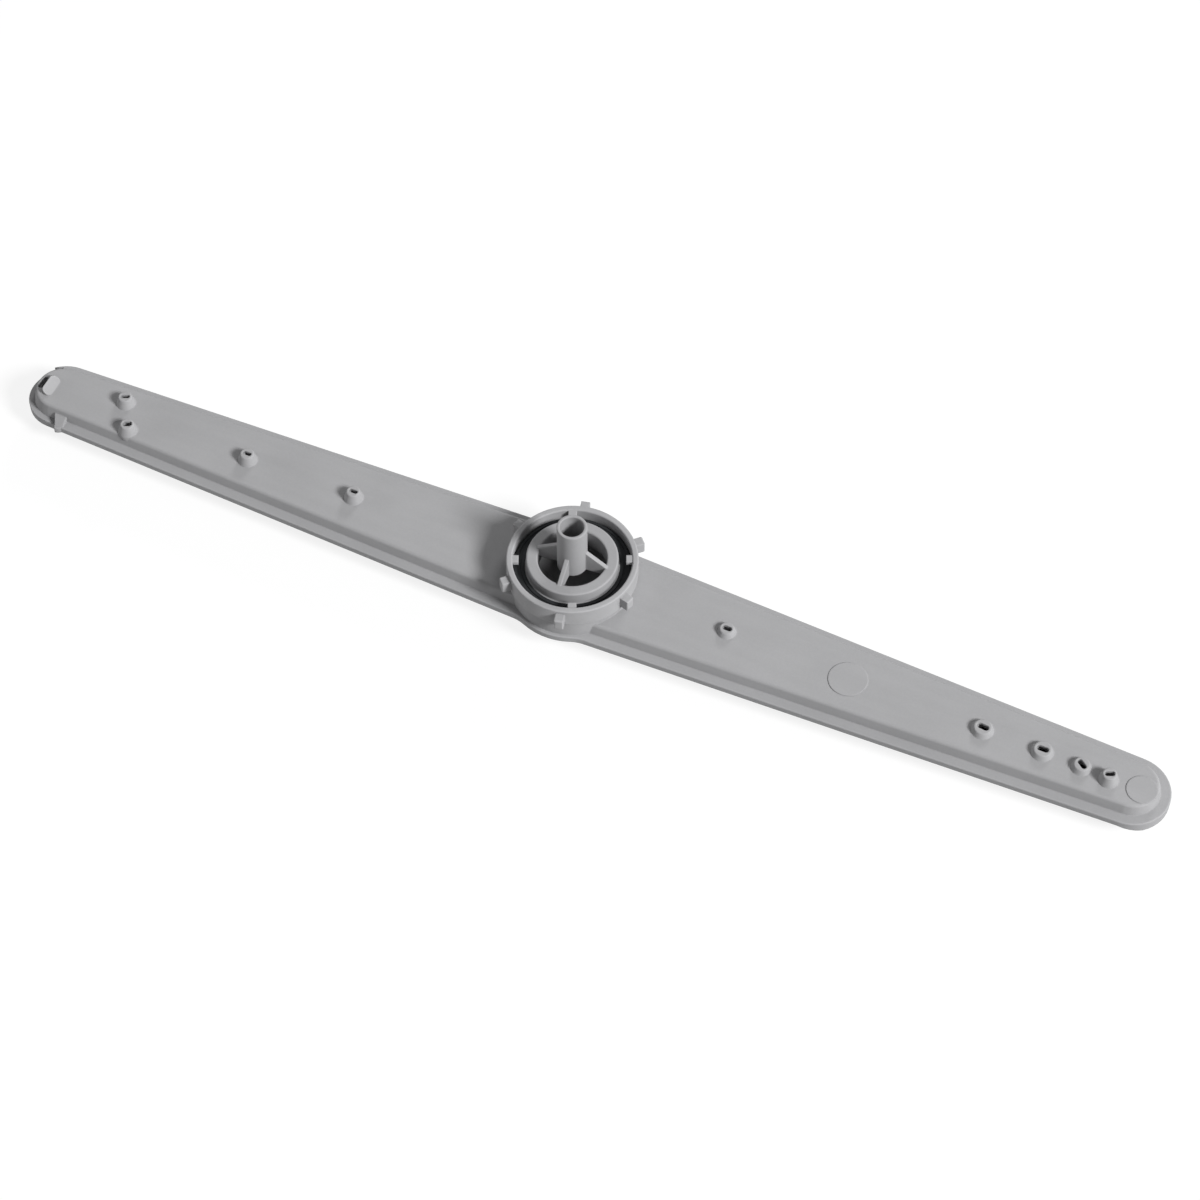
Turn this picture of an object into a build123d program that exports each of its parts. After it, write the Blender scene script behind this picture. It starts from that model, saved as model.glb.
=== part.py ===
from build123d import *
from math import acos, atan2, cos, hypot, isclose, radians, sin, sqrt, tan
import os

# Dishwasher spray arm, lying on its flat belly with the nozzles and the feed inlet upwards.
# The origin is on the hub's axis at the belly's rest face. +X runs along the arm, +Z along the hub's axis.
# All sizes are in millimetres and all angles in degrees.

# Arm, seen from above
arm_length = 465.0  # of the flange's outline, over both tips
tip_radius = 14.5  # of the flange at each tip
bulge_margin = 0.3  # that the flange's bulge round the hub stands out past the ring nut
bulge_step = 2.4  # that the bulge stands out past the arm's edges where the two halves meet
bulge_blend = 14.0  # of the inside corners beside that bulge

# Shells
wall = 2.0
lower_depth = 9.0  # from the rest face up to the underside of the flanges
lower_flange = 1.3
upper_flange = 1.3
flange_round = 0.4
skirt_width = 1.1  # of the upper flange's skirt, which laps round the lower flange
lap_clearance = 0.1
lip_depth = 1.8  # that each tip's edge hangs below the flanges
lip_run = 9.0  # along which a lip rises to the flanges
right_lip = 5.5  # of the right tip's lip at its full depth, from the tip
belly_inset = 5.0  # from the flange's edge to the belly's side
belly_draft = 14.0
belly_round = 2.5
plateau_inset = 3.8  # from the flange's edge to the foot of the plateau's side
plateau_rise = 4.6  # above the upper flange
plateau_draft = 12.0
plateau_round = 1.2

# Notch in the upper flange round the left tip, by the distance from the tip where it crosses each edge
notch_near = 19.2
notch_far = 7.5
rib_length = 3.4  # of the rib that closes the flange off at the notch's near end
rib_rise = 2.1  # above the flange, where the rib meets the plateau
ear_radius = 4.5  # of the round ear on the flange's edge beside that rib
ear_reach = 1.2  # that the ear stands out past that edge

# Boss and collar that carry the ring nut
boss_inset = 1.0  # that the boss lies inside the nut's outside
boss_rise = 2.6  # above the plateau
boss_round = 0.8
collar_gap = 0.7  # running gap between the collar's lip and the nut's bore
collar_lip = 1.0  # that the collar's lip stands out from its neck
collar_lip_height = 1.2
neck_wall = 2.8  # between the neck and the hub's socket

# Ring nut, from which the collar, the seal and the inlet hub take their sizes inwards
nut_radius = 24.4
nut_wall = 2.3
nut_height = 8.3
nut_lip_height = 1.1
nut_round = 0.5
nut_float = 0.3  # running gap over the boss and under the collar's lip
nut_clearance = 0.4  # running gap between the nut's lip and the neck
tab_count = 4
tab_length = 2.3
tab_width = 3.2
tab_height = 1.7
tab_drop = 0.3  # below the nut's rim
tab_angle = 24.4  # from the arm to the first tab
lug_count = 6
lug_length = 3.5
lug_width = 3.4
lug_height = 4.8
lug_drop = 1.6  # below the nut's rim
lug_angle = 44.2  # from the arm to the first lug
lug_round = 0.5

# Seal
seal_height = 1.3
seal_gap = 0.35  # between the seal and the turning nut
seal_fit = 0.05
seal_groove_width = 1.6
seal_groove_depth = 0.5

# Inlet hub
spigot_wall = 2.2
spigot_rise = 0.6  # above the nut's rim
root_step = 0.5  # that the spigot is wider inside the collar and the seal
hub_fit = 0.05
hub_flange_width = 2.2
hub_flange_height = 1.5
land_width = 4.25  # of the thick rim at the spigot's top
land_depth = 8.0
land_round = 0.6
tube_radius = 5.6
tube_bore_radius = 4.4
tube_rise = 18.7  # above the land
tube_drop = 4.0  # below the land
tube_round = 0.35
gusset_count = 4
gusset_width = 1.6
gusset_rise = 6.0  # above the land, where a gusset meets the tube
gusset_seat = 1.1  # that a gusset's top edge runs on over the land
gusset_angle = 4.0  # from the arm to the first gusset

# Nozzles on the plateau: tall cones and low stubs, each with a slit fed through a round hole from below
cone_top_radius = 2.5
cone_flank = 1.3  # that a cone is wider at its base than at its top
cone_height = 4.0
stub_flank = 1.0
stub_height = 2.2
nozzle_round = 0.5
nozzle_roof = 1.2  # thickness over the round hole
feed_margin = 0.1  # of the round hole past the slit's ends
left_tip = -arm_length / 2
right_tip = arm_length / 2
# Each cone: x, y and the slit's angle, length and width
cones = [
    (left_tip + 41.3, 3.5, 24.0, 3.7, 1.6),
    (left_tip + 48.6, -7.9, 24.0, 3.8, 2.3),
    (-135.3, -1.6, 0.0, 3.6, 1.6),
    (-90.4, -1.0, 0.0, 3.6, 1.6),
    (right_tip - 22.7, -2.2, 24.0, 3.8, 2.0),
]
# Each stub: x, y, the slit's angle, length and width, and the stub's radius at its top
stubs = [
    (61.8, 0.6, 0.0, 3.9, 2.0, 2.6),
    (right_tip - 70.6, -1.0, -5.0, 4.6, 2.3, 3.2),
    (right_tip - 48.0, -1.0, 0.0, 4.6, 2.3, 3.2),
    (right_tip - 33.2, -1.3, -38.0, 4.4, 2.0, 2.8),
]

# Jet at the left tip: a ramp that rises towards the tip, with a slit along the foot of its steep side
ramp_from_tip = 11.1
ramp_y = -1.5
ramp_length = 9.2
ramp_width = 3.8
ramp_height = 2.4
jet_from_tip = 7.1
jet_y = -0.8
jet_length = 5.8
jet_width = 2.6
jet_angle = -7.0

# Raised round marks of the mould: x, y, radius
marks = [(right_tip - 10.5, -1.3, 5.7), (110.0, -0.6, 7.3)]
mark_rise = 0.2

pick_tolerance = 0.01  # for choosing corners and edges by their place

# Levels and sizes that follow from the ones above
weld_z = lower_depth + lower_flange
flange_z = weld_z + upper_flange
plateau_z = flange_z + plateau_rise
ceiling_z = plateau_z - wall
boss_z = plateau_z + boss_rise
seat_z = boss_z - wall
nut_z = boss_z + nut_float
rim_z = nut_z + nut_height
nut_lip_z = nut_z + nut_lip_height
collar_lip_z = nut_lip_z + nut_float
collar_z = collar_lip_z + collar_lip_height
seal_z = collar_z + seal_height
land_z = rim_z + spigot_rise
tube_top_z = land_z + tube_rise
tube_bottom_z = land_z - tube_drop
nut_bore_radius = nut_radius - nut_wall
collar_radius = nut_bore_radius - collar_gap
neck_radius = collar_radius - collar_lip
nut_lip_radius = neck_radius + nut_clearance
boss_radius = nut_radius - boss_inset
socket_radius = neck_radius - neck_wall
root_radius = socket_radius - hub_fit
spigot_radius = root_radius - root_step
spigot_bore_radius = spigot_radius - spigot_wall
land_radius = spigot_radius - land_width
gusset_reach = land_radius + gusset_seat
hub_flange_radius = root_radius + hub_flange_width
bulge_radius = nut_radius + bulge_margin
half_root = bulge_radius - bulge_step
tip_x = arm_length / 2 - tip_radius
taper = acos(tip_radius / hypot(half_root, tip_x)) - atan2(tip_x, half_root)
notch_near_x = left_tip + notch_near
notch_near_y = -(tip_radius / cos(taper) + (notch_near - tip_radius) * sin(taper) / cos(taper))
notch_far_x = left_tip + notch_far
notch_far_y = sqrt(tip_radius**2 - (tip_radius - notch_far) ** 2)
notch_run = (notch_far_x - notch_near_x, notch_far_y - notch_near_y, 0)


def arm_plan(inset, z, bulge=True):
    """The arm's outline at height z, drawn in by inset: tapering halves, round tips and the hub's bulge."""
    half = half_root - inset / cos(taper)
    radius = tip_radius - inset
    tangent_x = tip_x + radius * sin(taper)
    tangent_y = radius * cos(taper)
    hub = bulge_radius - inset
    with BuildSketch(Plane.XY.offset(z)) as plan:
        with BuildLine():
            Line((0, half), (tangent_x, tangent_y))
            ThreePointArc((tangent_x, tangent_y), (tip_x + radius, 0), (tangent_x, -tangent_y))
            Line((tangent_x, -tangent_y), (0, -half))
            mirror(about=Plane.YZ)
        make_face()
        if bulge:
            Circle(hub)
            corners = [v for v in plan.vertices() if isclose(hypot(v.X, v.Y), hub, abs_tol=pick_tolerance)]
            fillet(corners, bulge_blend + inset)
    return plan.sketch


def tip_lip(side, inset, full):
    """The bow under a tip's edge, drawn in by inset: the right tip for a side of 1, the left for -1."""
    tip = arm_length / 2
    low_z = lower_depth - lip_depth
    with BuildPart() as lip:
        extrude(arm_plan(inset, lower_depth, bulge=False), amount=-lip_depth)
        inner = arm_plan(inset + skirt_width, lower_depth, bulge=False)
        extrude(inner, amount=-lip_depth, mode=Mode.SUBTRACT)
        # Side view: full depth beside the tip, then rising to the flanges
        with BuildSketch(Plane.XZ):
            with BuildLine():
                Polyline(
                    (side * tip, lower_depth),
                    (side * tip, low_z),
                    (side * (tip - full), low_z),
                    (side * (tip - full - lip_run), lower_depth),
                    close=True,
                )
            make_face()
        extrude(amount=bulge_radius, both=True, mode=Mode.INTERSECT)
    return lip.part


def plateau_side(z):
    """How far the plateau's drafted side lies inside the flange's edge at height z."""
    return plateau_inset + (z - flange_z) * tan(radians(plateau_draft))


def nozzle_profile(x, y, top_radius, flank, height):
    """Half the section of a nozzle on the plateau, rooted in the shell's wall."""
    base_radius = top_radius + flank
    with BuildSketch(Plane((x, y, plateau_z), x_dir=(1, 0, 0), z_dir=(0, -1, 0))) as profile:
        with BuildLine():
            Polyline(
                (0, -wall),
                (base_radius, -wall),
                (base_radius, 0),
                (top_radius, height),
                (0, height),
                close=True,
            )
        make_face()
        crown = profile.vertices().group_by(Axis.Y)[-1].sort_by(Axis.X)[-1]
        fillet(crown, nozzle_round)
    return profile.sketch


def ring_profile(points, rounded, radius):
    """Half the section of a turned ring, with the corners listed in rounded given a radius."""
    with BuildSketch(Plane.XZ) as profile:
        with BuildLine():
            Polyline(*points, close=True)
        make_face()
        corners = []
        for r, z in rounded:
            corners += [v for v in profile.vertices() if hypot(v.X - r, v.Y - z) < pick_tolerance]
        fillet(corners, radius)
    return profile.sketch


os.makedirs("parts", exist_ok=True)

# Lower shell: a tray with drafted sides and a flat base, under a thin weld flange with a lip at the left tip
lower_lip = tip_lip(-1, skirt_width + lap_clearance, notch_near)
with BuildPart() as lower_shell:
    extrude(arm_plan(belly_inset, lower_depth), amount=-lower_depth, taper=belly_draft)
    fillet(lower_shell.faces().sort_by(Axis.Z)[0].edges(), belly_round)
    extrude(arm_plan(skirt_width + lap_clearance, lower_depth), amount=lower_flange)
    add(lower_lip)
    # Hollow inside
    extrude(arm_plan(belly_inset + wall, weld_z), amount=wall - weld_z, taper=belly_draft, mode=Mode.SUBTRACT)
lower_shell.part.label = "lower_shell"
export_step(lower_shell.part, "parts/lower_shell.step")

# Upper shell, from the flange up
collar_points = [
    (socket_radius, seat_z),
    (socket_radius, collar_z),
    (collar_radius, collar_z),
    (collar_radius, collar_lip_z),
    (neck_radius, collar_lip_z),
    (neck_radius, seat_z),
]
nozzles = [(*cone, cone_top_radius, cone_flank, cone_height) for cone in cones]
nozzles += [(*stub, stub_flank, stub_height) for stub in stubs]
upper_lip = tip_lip(1, 0, right_lip)
with BuildPart() as upper_shell:
    # Flange with an ear beside the notch, a skirt round the lower flange, and the lip at the right tip
    extrude(arm_plan(0, lower_depth), amount=flange_z - lower_depth)
    fillet(upper_shell.faces().sort_by(Axis.Z)[-1].edges(), flange_round)
    with BuildSketch(Plane.XY.offset(lower_depth)):
        with Locations((notch_near_x, notch_near_y + ear_radius - ear_reach)):
            Circle(ear_radius)
    extrude(amount=flange_z - lower_depth)
    extrude(arm_plan(skirt_width, lower_depth), amount=lower_flange, mode=Mode.SUBTRACT)
    add(upper_lip)
    # Rib from the flange's near edge up to the plateau's side
    with BuildSketch(Plane((notch_near_x, notch_near_y, flange_z), x_dir=(0, 1, 0), z_dir=(1, 0, 0))):
        with BuildLine():
            Polyline(
                (flange_round, 0),
                (plateau_inset + wall, 0),
                (plateau_inset + wall, rib_rise),
                (plateau_inset, rib_rise),
                close=True,
            )
        make_face()
    extrude(amount=rib_length, both=True)
    # Notch: the flange, its ear and the rib end at a slanting line across the left tip
    with BuildSketch(Plane((notch_near_x, notch_near_y, lower_depth), x_dir=notch_run)):
        Rectangle(4 * tip_radius, 2 * tip_radius, align=(Align.CENTER, Align.MIN))
    extrude(amount=plateau_z - lower_depth, mode=Mode.SUBTRACT)
    # Plateau with drafted sides and rounded shoulders
    plateau = arm_plan(plateau_side(plateau_z), plateau_z, bulge=False)
    extrude(plateau, amount=weld_z - plateau_z, taper=-plateau_draft)
    fillet(upper_shell.faces().sort_by(Axis.Z)[-1].edges(), plateau_round)
    # Jet's ramp on the left tip, cut off along its slope
    with BuildSketch(Plane.XY.offset(ceiling_z)):
        with Locations((left_tip + ramp_from_tip, ramp_y)):
            SlotOverall(ramp_length, ramp_width, rotation=90)
    extrude(amount=wall + ramp_height)
    ramp_middle = (left_tip + ramp_from_tip, ramp_y, plateau_z)
    ramp_half = ramp_width / 2
    with BuildSketch(Plane(ramp_middle, x_dir=(1, 0, 0), z_dir=(0, -1, 0))):
        with BuildLine():
            Polyline((ramp_half, 0), (ramp_half, ramp_height), (-ramp_half, ramp_height), close=True)
        make_face()
    extrude(amount=ramp_length / 2, both=True, mode=Mode.SUBTRACT)
    # Boss
    with BuildSketch(Plane.XY.offset(weld_z)):
        Circle(boss_radius)
    extrude(amount=boss_z - weld_z)
    fillet(upper_shell.faces().sort_by(Axis.Z)[-1].edges(), boss_round)
    # Nozzles and mould marks
    for x, y, angle, length, width, top_radius, flank, height in nozzles:
        revolve(nozzle_profile(x, y, top_radius, flank, height), axis=Axis((x, y, 0), (0, 0, 1)))
    for x, y, radius in marks:
        with Locations((x, y, plateau_z + mark_rise)):
            Cylinder(radius, mark_rise + wall / 2, align=(Align.CENTER, Align.CENTER, Align.MAX))
    # Hollow inside
    hollow = arm_plan(plateau_side(ceiling_z) + wall, ceiling_z, bulge=False)
    extrude(hollow, amount=weld_z - ceiling_z, taper=-plateau_draft, mode=Mode.SUBTRACT)
    with BuildSketch(Plane.XY.offset(weld_z)):
        Circle(boss_radius - wall)
    extrude(amount=seat_z - weld_z, mode=Mode.SUBTRACT)
    # Feeds and slits of the nozzles, and the jet's slit
    for x, y, angle, length, width, top_radius, flank, height in nozzles:
        with BuildSketch(Plane.XY.offset(ceiling_z)):
            with Locations((x, y)):
                Circle(length / 2 + feed_margin)
        extrude(amount=wall + height - nozzle_roof, mode=Mode.SUBTRACT)
        with BuildSketch(Plane.XY.offset(plateau_z)):
            with Locations((x, y)):
                SlotOverall(length, width, rotation=angle)
        extrude(amount=height, mode=Mode.SUBTRACT)
    with BuildSketch(Plane.XY.offset(ceiling_z)):
        with Locations((left_tip + jet_from_tip, jet_y)):
            SlotOverall(jet_length, jet_width, rotation=90 + jet_angle)
    extrude(amount=wall + ramp_height, mode=Mode.SUBTRACT)
    # Collar round the hub's socket
    with BuildSketch(Plane.XY.offset(seat_z)):
        Circle(socket_radius)
    extrude(amount=wall, mode=Mode.SUBTRACT)
    revolve(ring_profile(collar_points, [(collar_radius, collar_z)], boss_round / 2), axis=Axis.Z)
upper_shell.part.label = "upper_shell"
export_step(upper_shell.part, "parts/upper_shell.step")

# Inlet hub: a spigot with a thick rim, a centre tube and the gussets that carry it
hub_points = [
    (spigot_bore_radius, seat_z - hub_flange_height),
    (hub_flange_radius, seat_z - hub_flange_height),
    (hub_flange_radius, seat_z),
    (root_radius, seat_z),
    (root_radius, seal_z),
    (spigot_radius, seal_z),
    (spigot_radius, land_z),
    (land_radius, land_z),
    (land_radius, land_z - land_depth),
    (spigot_bore_radius, land_z - land_depth),
]
tube_middle = (tube_radius + tube_bore_radius) / 2
with BuildPart() as inlet_hub:
    revolve(ring_profile(hub_points, hub_points[6:8], land_round), axis=Axis.Z)
    tube_points = [
        (tube_bore_radius, tube_bottom_z),
        (tube_radius, tube_bottom_z),
        (tube_radius, tube_top_z),
        (tube_bore_radius, tube_top_z),
    ]
    revolve(ring_profile(tube_points, tube_points[2:], tube_round), axis=Axis.Z)
    for i in range(gusset_count):
        angle = radians(gusset_angle + i * 360 / gusset_count)
        outwards = (cos(angle), sin(angle), 0)
        sideways = (sin(angle), -cos(angle), 0)
        with BuildSketch(Plane((0, 0, 0), x_dir=outwards, z_dir=sideways)):
            with BuildLine():
                Polyline(
                    (tube_middle, tube_bottom_z),
                    (gusset_reach, tube_bottom_z),
                    (gusset_reach, land_z),
                    (tube_middle, land_z + gusset_rise),
                    close=True,
                )
            make_face()
        extrude(amount=gusset_width / 2, both=True)
inlet_hub.part.label = "inlet_hub"
export_step(inlet_hub.part, "parts/inlet_hub.step")

# Seal: a flat ring with a groove in its face, on the collar round the spigot's root
seal_inner = root_radius + seal_fit
seal_outer = nut_bore_radius - seal_gap
groove_inner = (seal_inner + seal_outer - seal_groove_width) / 2
groove_outer = groove_inner + seal_groove_width
seal_points = [
    (seal_inner, collar_z),
    (seal_outer, collar_z),
    (seal_outer, seal_z),
    (groove_outer, seal_z),
    (groove_outer, seal_z - seal_groove_depth),
    (groove_inner, seal_z - seal_groove_depth),
    (groove_inner, seal_z),
    (seal_inner, seal_z),
]
with BuildPart() as seal_ring:
    revolve(ring_profile(seal_points, seal_points[2:3], seal_groove_depth / 2), axis=Axis.Z)
seal_ring.part.label = "seal_ring"
export_step(seal_ring.part, "parts/seal_ring.step")

# Ring nut: a lip under the collar, bayonet tabs inside the rim and grip lugs outside
nut_points = [
    (nut_lip_radius, nut_z),
    (nut_radius, nut_z),
    (nut_radius, rim_z),
    (nut_bore_radius, rim_z),
    (nut_bore_radius, nut_lip_z),
    (nut_lip_radius, nut_lip_z),
]
with BuildPart() as ring_nut:
    revolve(ring_profile(nut_points, nut_points[1:4], nut_round), axis=Axis.Z)
    with Locations((0, 0, rim_z - tab_drop)):
        with PolarLocations(nut_bore_radius - tab_length, tab_count, start_angle=tab_angle):
            Box(tab_length + nut_wall / 2, tab_width, tab_height, align=(Align.MIN, Align.CENTER, Align.MAX))
    with Locations((0, 0, rim_z - lug_drop)):
        with PolarLocations(nut_radius + lug_length, lug_count, start_angle=lug_angle):
            Box(lug_length + nut_wall / 2, lug_width, lug_height, align=(Align.MAX, Align.CENTER, Align.MAX))
    lug_reach = nut_radius + lug_length - pick_tolerance
    lug_ends = [e for e in ring_nut.edges() if hypot(e.center().X, e.center().Y) > lug_reach]
    fillet(lug_ends, lug_round)
ring_nut.part.label = "ring_nut"
export_step(ring_nut.part, "parts/ring_nut.step")
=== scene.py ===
from math import cos, radians, sin

import bpy
from mathutils import Matrix, Vector

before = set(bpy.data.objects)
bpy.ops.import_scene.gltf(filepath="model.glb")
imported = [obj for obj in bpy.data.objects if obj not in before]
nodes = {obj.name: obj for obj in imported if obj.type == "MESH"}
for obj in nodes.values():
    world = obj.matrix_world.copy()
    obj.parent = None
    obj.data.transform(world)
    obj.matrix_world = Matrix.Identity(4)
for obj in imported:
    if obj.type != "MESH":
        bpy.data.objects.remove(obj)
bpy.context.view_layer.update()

# Dishwasher spray arm on a white floor. Lengths are in metres and angles in degrees, in the part's own frame.
scene = bpy.context.scene
white = (1, 1, 1, 1)

# Camera: the photograph's viewing angle, round the point that it aims at
camera_azimuth = 24.43
camera_elevation = 54.69
camera_distance = 1.1517
camera_lens = 92.79
camera_aim = Vector((0.01086, 0.00068, 0.00626))
camera_near = 0.05
camera_far = 50.0
near_side = -90.0  # where a camera at azimuth 0 stands, from +X about +Z

# Light: a large soft lamp beyond the right end of the arm, weak ones behind it and beyond its left end,
# and a dim white surround
lamp_distance = 6.0
lamp_size = 1.6
lamps = {
    "key": {"azimuth": -12.0, "elevation": 37.0, "power": 424.0},
    "back": {"azimuth": 92.0, "elevation": 24.0, "power": 98.0},
    "side": {"azimuth": 200.0, "elevation": 12.0, "power": 50.0},
}
surround_light = 0.17

# Floor: a grey that lights the arm from below, and a shaded grey and a glow that together look white
floor_half = 4.0
floor_drop = 0.0002  # below the arm's base
floor_bounce = 0.35
floor_shade = 0.18
floor_glow = 0.84

# Noise: the values that most of it lies in, for soft and for fine patterns
noise_range = (0.3, 0.7)
speck_range = (0.25, 0.75)
shading_samples = 6  # for rounded edges, and for finding edges and corners

# Moulded plastic: its patterns, with their features a metre, and how far each one takes the dark tone to pale
plastic_clouds = {"Scale": 38, "Detail": 4}
plastic_streaks = {"Scale": 260, "Detail": 3}
plastic_specks = {"Scale": 1400, "Detail": 2}
plastic_grain = {"Scale": 2600, "Detail": 3}
streak_stretch = (0.12, 1, 1)  # draws the streaks out along the arm
cloud_share = 0.45
streak_share = 0.25
speck_share = 0.3
dark_tone = 0.92
pale_tone = 1.08
plastic_gloss = 0.3
plastic_round = 0.0006

# Plastic edges and corners, found by the room within reach: paler at outside edges, partly wear and partly a
# painted highlight, and painted shade in inside corners
edge_reach = 0.0009
edge_room = (0.55, 0.95)  # inside the piece, from at an edge to clear of it
edge_highlight_and_wear_share = 0.4
edge_highlight_and_wear_tone = 1.2
painted_shade_reach = 0.0026
painted_shade_room = (0.35, 0.9)  # over the surface, from deep in a corner to clear of it
painted_shade_share = 0.35
painted_shade_tone = 0.55

# Rubber: its patterns, with their features a metre, and where the dust lies on it
rubber_clouds = {"Scale": 120, "Detail": 4}
rubber_specks = {"Scale": 2200, "Detail": 2}
dusty_clouds = (0.4, 0.75)
dusty_specks = (0.4, 0.7)
least_dust = 0.3  # between the specks
rubber_roughness = (0.6, 0.8)
rubber_gloss = 0.2
rubber_grain_depth = 0.00003
rubber_round = 0.0002


def direction(azimuth, elevation):
    """Unit vector towards a place at an angle from +X about +Z, and at a height angle."""
    turn = radians(azimuth)
    rise = radians(elevation)
    return Vector((cos(turn) * cos(rise), sin(turn) * cos(rise), sin(rise)))


def make_camera():
    """The camera, upright, at its azimuth and elevation round the aim."""
    back = direction(camera_azimuth + near_side, camera_elevation)
    right = direction(camera_azimuth, 0)
    up = back.cross(right)
    data = bpy.data.cameras.new("camera")
    data.lens = camera_lens
    data.clip_start = camera_near
    data.clip_end = camera_far
    camera = bpy.data.objects.new("camera", data)
    turn = Matrix((right, up, back)).transposed().to_4x4()
    camera.matrix_world = Matrix.Translation(camera_aim + camera_distance * back) @ turn
    scene.collection.objects.link(camera)
    scene.camera = camera


def make_lamp(name, azimuth, elevation, power):
    """A round soft box that faces the origin."""
    data = bpy.data.lights.new(name, "AREA")
    data.shape = "DISK"
    data.size = lamp_size
    data.energy = power
    lamp = bpy.data.objects.new(name, data)
    towards = direction(azimuth, elevation)
    lamp.location = lamp_distance * towards
    lamp.rotation_mode = "QUATERNION"
    lamp.rotation_quaternion = towards.to_track_quat("Z", "Y")
    scene.collection.objects.link(lamp)


def add(tree, kind, inputs=None, **settings):
    """Adds a node with its settings, and sets or links its inputs."""
    node = tree.nodes.new(kind)
    for key, value in settings.items():
        setattr(node, key, value)
    for key, value in (inputs or {}).items():
        connect(tree, node.inputs[key], value)
    return node


def connect(tree, socket, value):
    """Links a socket to another one, or sets it to a plain value."""
    if isinstance(value, bpy.types.NodeSocket):
        tree.links.new(value, socket)
    else:
        socket.default_value = value


def combine(tree, operation, first, second):
    """The result of an arithmetic node on two values or sockets."""
    return add(tree, "ShaderNodeMath", {0: first, 1: second}, operation=operation).outputs[0]


def spread(tree, value, source, target):
    """A value in one range, carried over to another range and held inside it."""
    limits = {"From Min": source[0], "From Max": source[1], "To Min": target[0], "To Max": target[1]}
    return add(tree, "ShaderNodeMapRange", {"Value": value, **limits}).outputs[0]


def noise(tree, place, pattern):
    """Noise of a pattern at a place."""
    return add(tree, "ShaderNodeTexNoise", {"Vector": place, **pattern}).outputs[0]


def blend(tree, share, start, end):
    """One colour going over into another by a share from 0 to 1."""
    mix = add(tree, "ShaderNodeMix", {"Factor": share}, data_type="RGBA")
    colour_sockets = [socket for socket in mix.inputs if socket.type == "RGBA"]
    for socket, colour in zip(colour_sockets, (start, end)):
        connect(tree, socket, colour)
    return next(socket for socket in mix.outputs if socket.type == "RGBA")


def tint(colour, factor):
    """A colour, lighter or darker by a factor, with its alpha."""
    return tuple(factor * part for part in colour[:3]) + (1,)


def new_material(name):
    """A material with an empty node tree."""
    material = bpy.data.materials.new(name)
    material.use_nodes = True
    material.node_tree.nodes.clear()
    return material, material.node_tree


def seen_directly(tree):
    """1 for rays from the camera and for what gloss and glass show, otherwise 0."""
    path = add(tree, "ShaderNodeLightPath").outputs
    shown = combine(tree, "MAXIMUM", path["Is Camera Ray"], path["Is Glossy Ray"])
    return combine(tree, "MAXIMUM", shown, path["Is Transmission Ray"])


def make_surround():
    """White where it is seen, and an even soft light on the object."""
    world = bpy.data.worlds.new("surround")
    scene.world = world
    world.use_nodes = True
    tree = world.node_tree
    tree.nodes.clear()
    light = add(tree, "ShaderNodeBackground", {"Color": white, "Strength": surround_light}).outputs[0]
    seen = add(tree, "ShaderNodeBackground", {"Color": white, "Strength": 1}).outputs[0]
    mixed = add(tree, "ShaderNodeMixShader", {0: seen_directly(tree), 1: light, 2: seen}).outputs[0]
    add(tree, "ShaderNodeOutputWorld", {"Surface": mixed})


def make_floor():
    """A level floor under the arm, white where it is seen, with the arm's soft shadow."""
    material, tree = new_material("floor_white")
    bounce = add(tree, "ShaderNodeBsdfDiffuse", {"Color": tint(white, floor_bounce)}).outputs[0]
    shade = add(tree, "ShaderNodeBsdfDiffuse", {"Color": tint(white, floor_shade)}).outputs[0]
    glow = add(tree, "ShaderNodeEmission", {"Color": white, "Strength": floor_glow}).outputs[0]
    seen = add(tree, "ShaderNodeAddShader", {0: shade, 1: glow}).outputs[0]
    mixed = add(tree, "ShaderNodeMixShader", {0: seen_directly(tree), 1: bounce, 2: seen}).outputs[0]
    add(tree, "ShaderNodeOutputMaterial", {"Surface": mixed})
    corners = [(-1, -1), (1, -1), (1, 1), (-1, 1)]
    mesh = bpy.data.meshes.new("floor")
    mesh.from_pydata([(x * floor_half, y * floor_half, -floor_drop) for x, y in corners], [], [(0, 1, 2, 3)])
    mesh.materials.append(material)
    floor = bpy.data.objects.new("floor", mesh)
    scene.collection.objects.link(floor)


def surface(tree, colour, roughness, gloss, grain, grain_depth, edge_round):
    """A plastic or rubber surface with rounded edges and a fine grain."""
    soft = add(tree, "ShaderNodeBevel", {"Radius": edge_round}, samples=shading_samples).outputs[0]
    bump = add(tree, "ShaderNodeBump", {"Height": grain, "Distance": grain_depth, "Normal": soft}).outputs[0]
    inputs = {"Base Color": colour, "Roughness": roughness, "Specular IOR Level": gloss, "Normal": bump}
    shader = add(tree, "ShaderNodeBsdfPrincipled", inputs).outputs[0]
    add(tree, "ShaderNodeOutputMaterial", {"Surface": shader})


def free_room(tree, reach, inside):
    """Share of the directions that are free within reach, over the surface or inside the piece."""
    settings = {"inside": inside, "samples": shading_samples}
    return add(tree, "ShaderNodeAmbientOcclusion", {"Distance": reach}, **settings).outputs["AO"]


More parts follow.
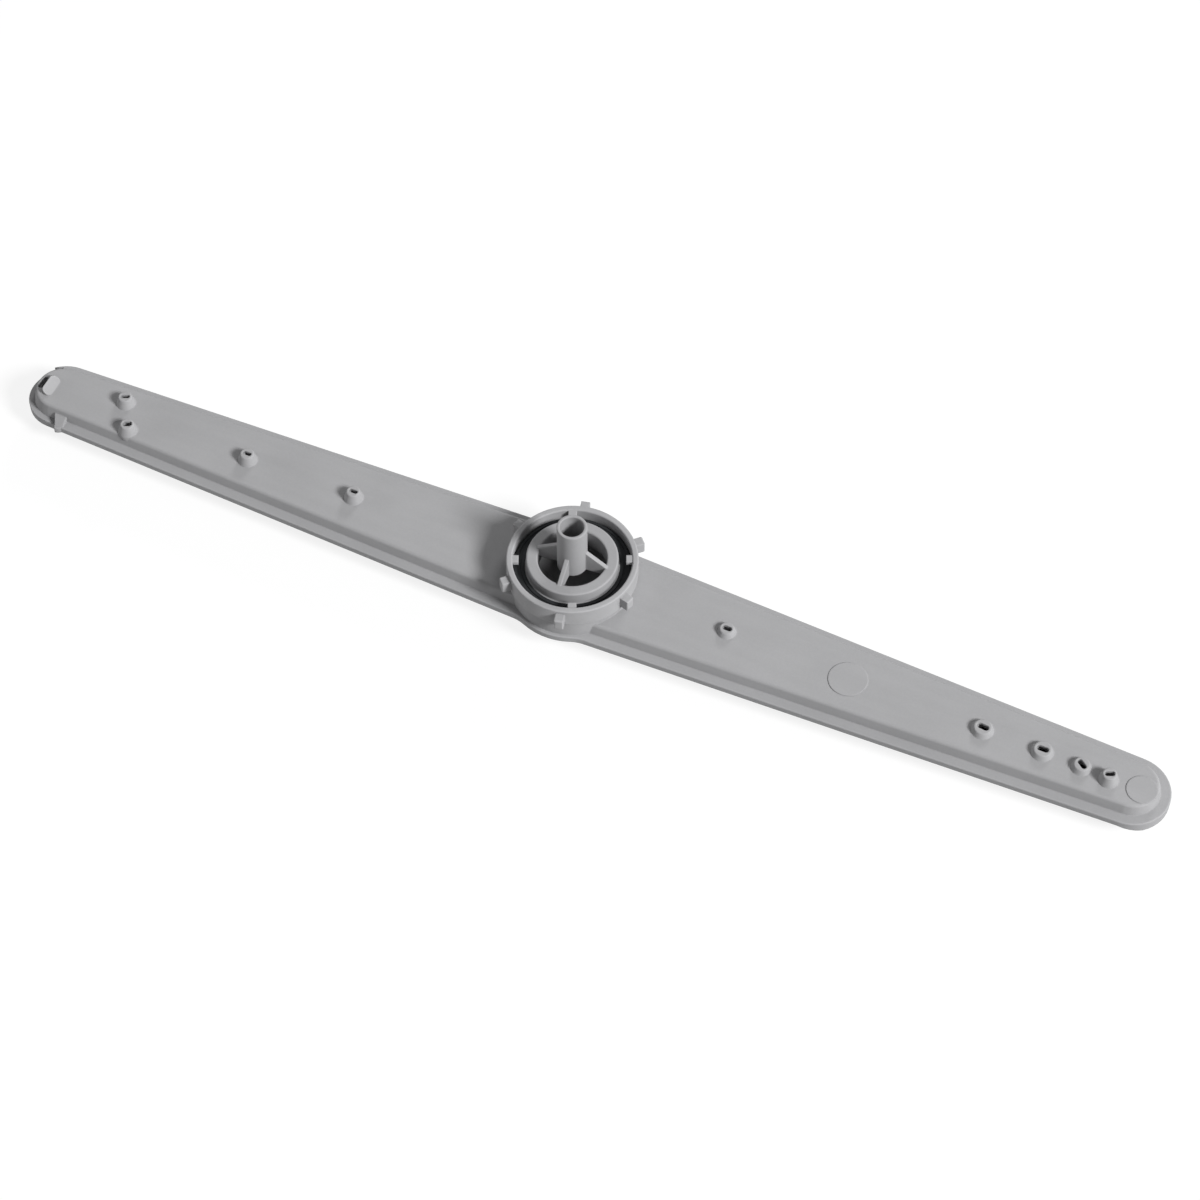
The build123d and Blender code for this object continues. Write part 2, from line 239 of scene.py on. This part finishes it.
def moulded_plastic(name, colour, roughness, grain_depth):
    """Matt moulded plastic: clouded grey with flow streaks and specks, paler edges that are partly wear and
    partly a painted highlight, and painted shade in inside corners.
    """
    material, tree = new_material(name)
    place = add(tree, "ShaderNodeTexCoord").outputs["Object"]
    along = add(tree, "ShaderNodeMapping", {"Vector": place, "Scale": streak_stretch}).outputs[0]
    clouds = noise(tree, place, plastic_clouds)
    clouding = spread(tree, clouds, noise_range, (0, cloud_share))
    streaking = spread(tree, noise(tree, along, plastic_streaks), noise_range, (0, streak_share))
    specking = spread(tree, noise(tree, place, plastic_specks), speck_range, (0, speck_share))
    tone = combine(tree, "ADD", combine(tree, "ADD", clouding, streaking), specking)
    # Paler outside edges: partly wear, partly a painted highlight
    edges = spread(tree, free_room(tree, edge_reach, True), edge_room, (edge_highlight_and_wear_share, 0))
    # Painted shade: a mask of inside corners, where shade falls
    corners = spread(tree, free_room(tree, painted_shade_reach, False), painted_shade_room, (painted_shade_share, 0))
    body = blend(tree, tone, tint(colour, dark_tone), tint(colour, pale_tone))
    highlit_worn_body = blend(tree, edges, body, tint(colour, edge_highlight_and_wear_tone))
    # Painted shade: inside corners darkened towards a dim copy of the colour
    highlit_worn_and_shaded = blend(tree, corners, highlit_worn_body, tint(colour, painted_shade_tone))
    sheen = spread(tree, clouds, noise_range, roughness)
    grain = noise(tree, place, plastic_grain)
    surface(tree, highlit_worn_and_shaded, sheen, plastic_gloss, grain, grain_depth, plastic_round)
    return material


def rubber(name, colour, dust):
    """Black rubber with a bloom of pale dust."""
    material, tree = new_material(name)
    place = add(tree, "ShaderNodeTexCoord").outputs["Object"]
    clouds = noise(tree, place, rubber_clouds)
    specks = noise(tree, place, rubber_specks)
    clouding = spread(tree, clouds, dusty_clouds, (0, 1))
    specking = spread(tree, specks, dusty_specks, (least_dust, 1))
    bloom = combine(tree, "MULTIPLY", clouding, specking)
    dusted = blend(tree, bloom, tint(colour, 1), tint(dust, 1))
    sheen = spread(tree, clouds, noise_range, rubber_roughness)
    surface(tree, dusted, sheen, rubber_gloss, specks, rubber_grain_depth, rubber_round)
    return material


shell_grey = moulded_plastic("shell_grey", (0.37, 0.37, 0.378), roughness=(0.62, 0.74), grain_depth=0.00004)
hub_grey = moulded_plastic("hub_grey", (0.352, 0.352, 0.36), roughness=(0.56, 0.68), grain_depth=0.00003)
nut_grey = moulded_plastic("nut_grey", (0.385, 0.385, 0.393), roughness=(0.58, 0.7), grain_depth=0.00003)
seal_black = rubber("seal_black", (0.024, 0.026, 0.028), dust=(0.042, 0.045, 0.048))
finishes = {
    "lower_shell": shell_grey,
    "upper_shell": shell_grey,
    "inlet_hub": hub_grey,
    "ring_nut": nut_grey,
    "seal_ring": seal_black,
}
for name, material in finishes.items():
    for slot in nodes[name].material_slots:
        slot.material = material

make_camera()
for name, place in lamps.items():
    make_lamp(name, **place)
make_surround()
make_floor()
scene.view_settings.view_transform = "Standard"
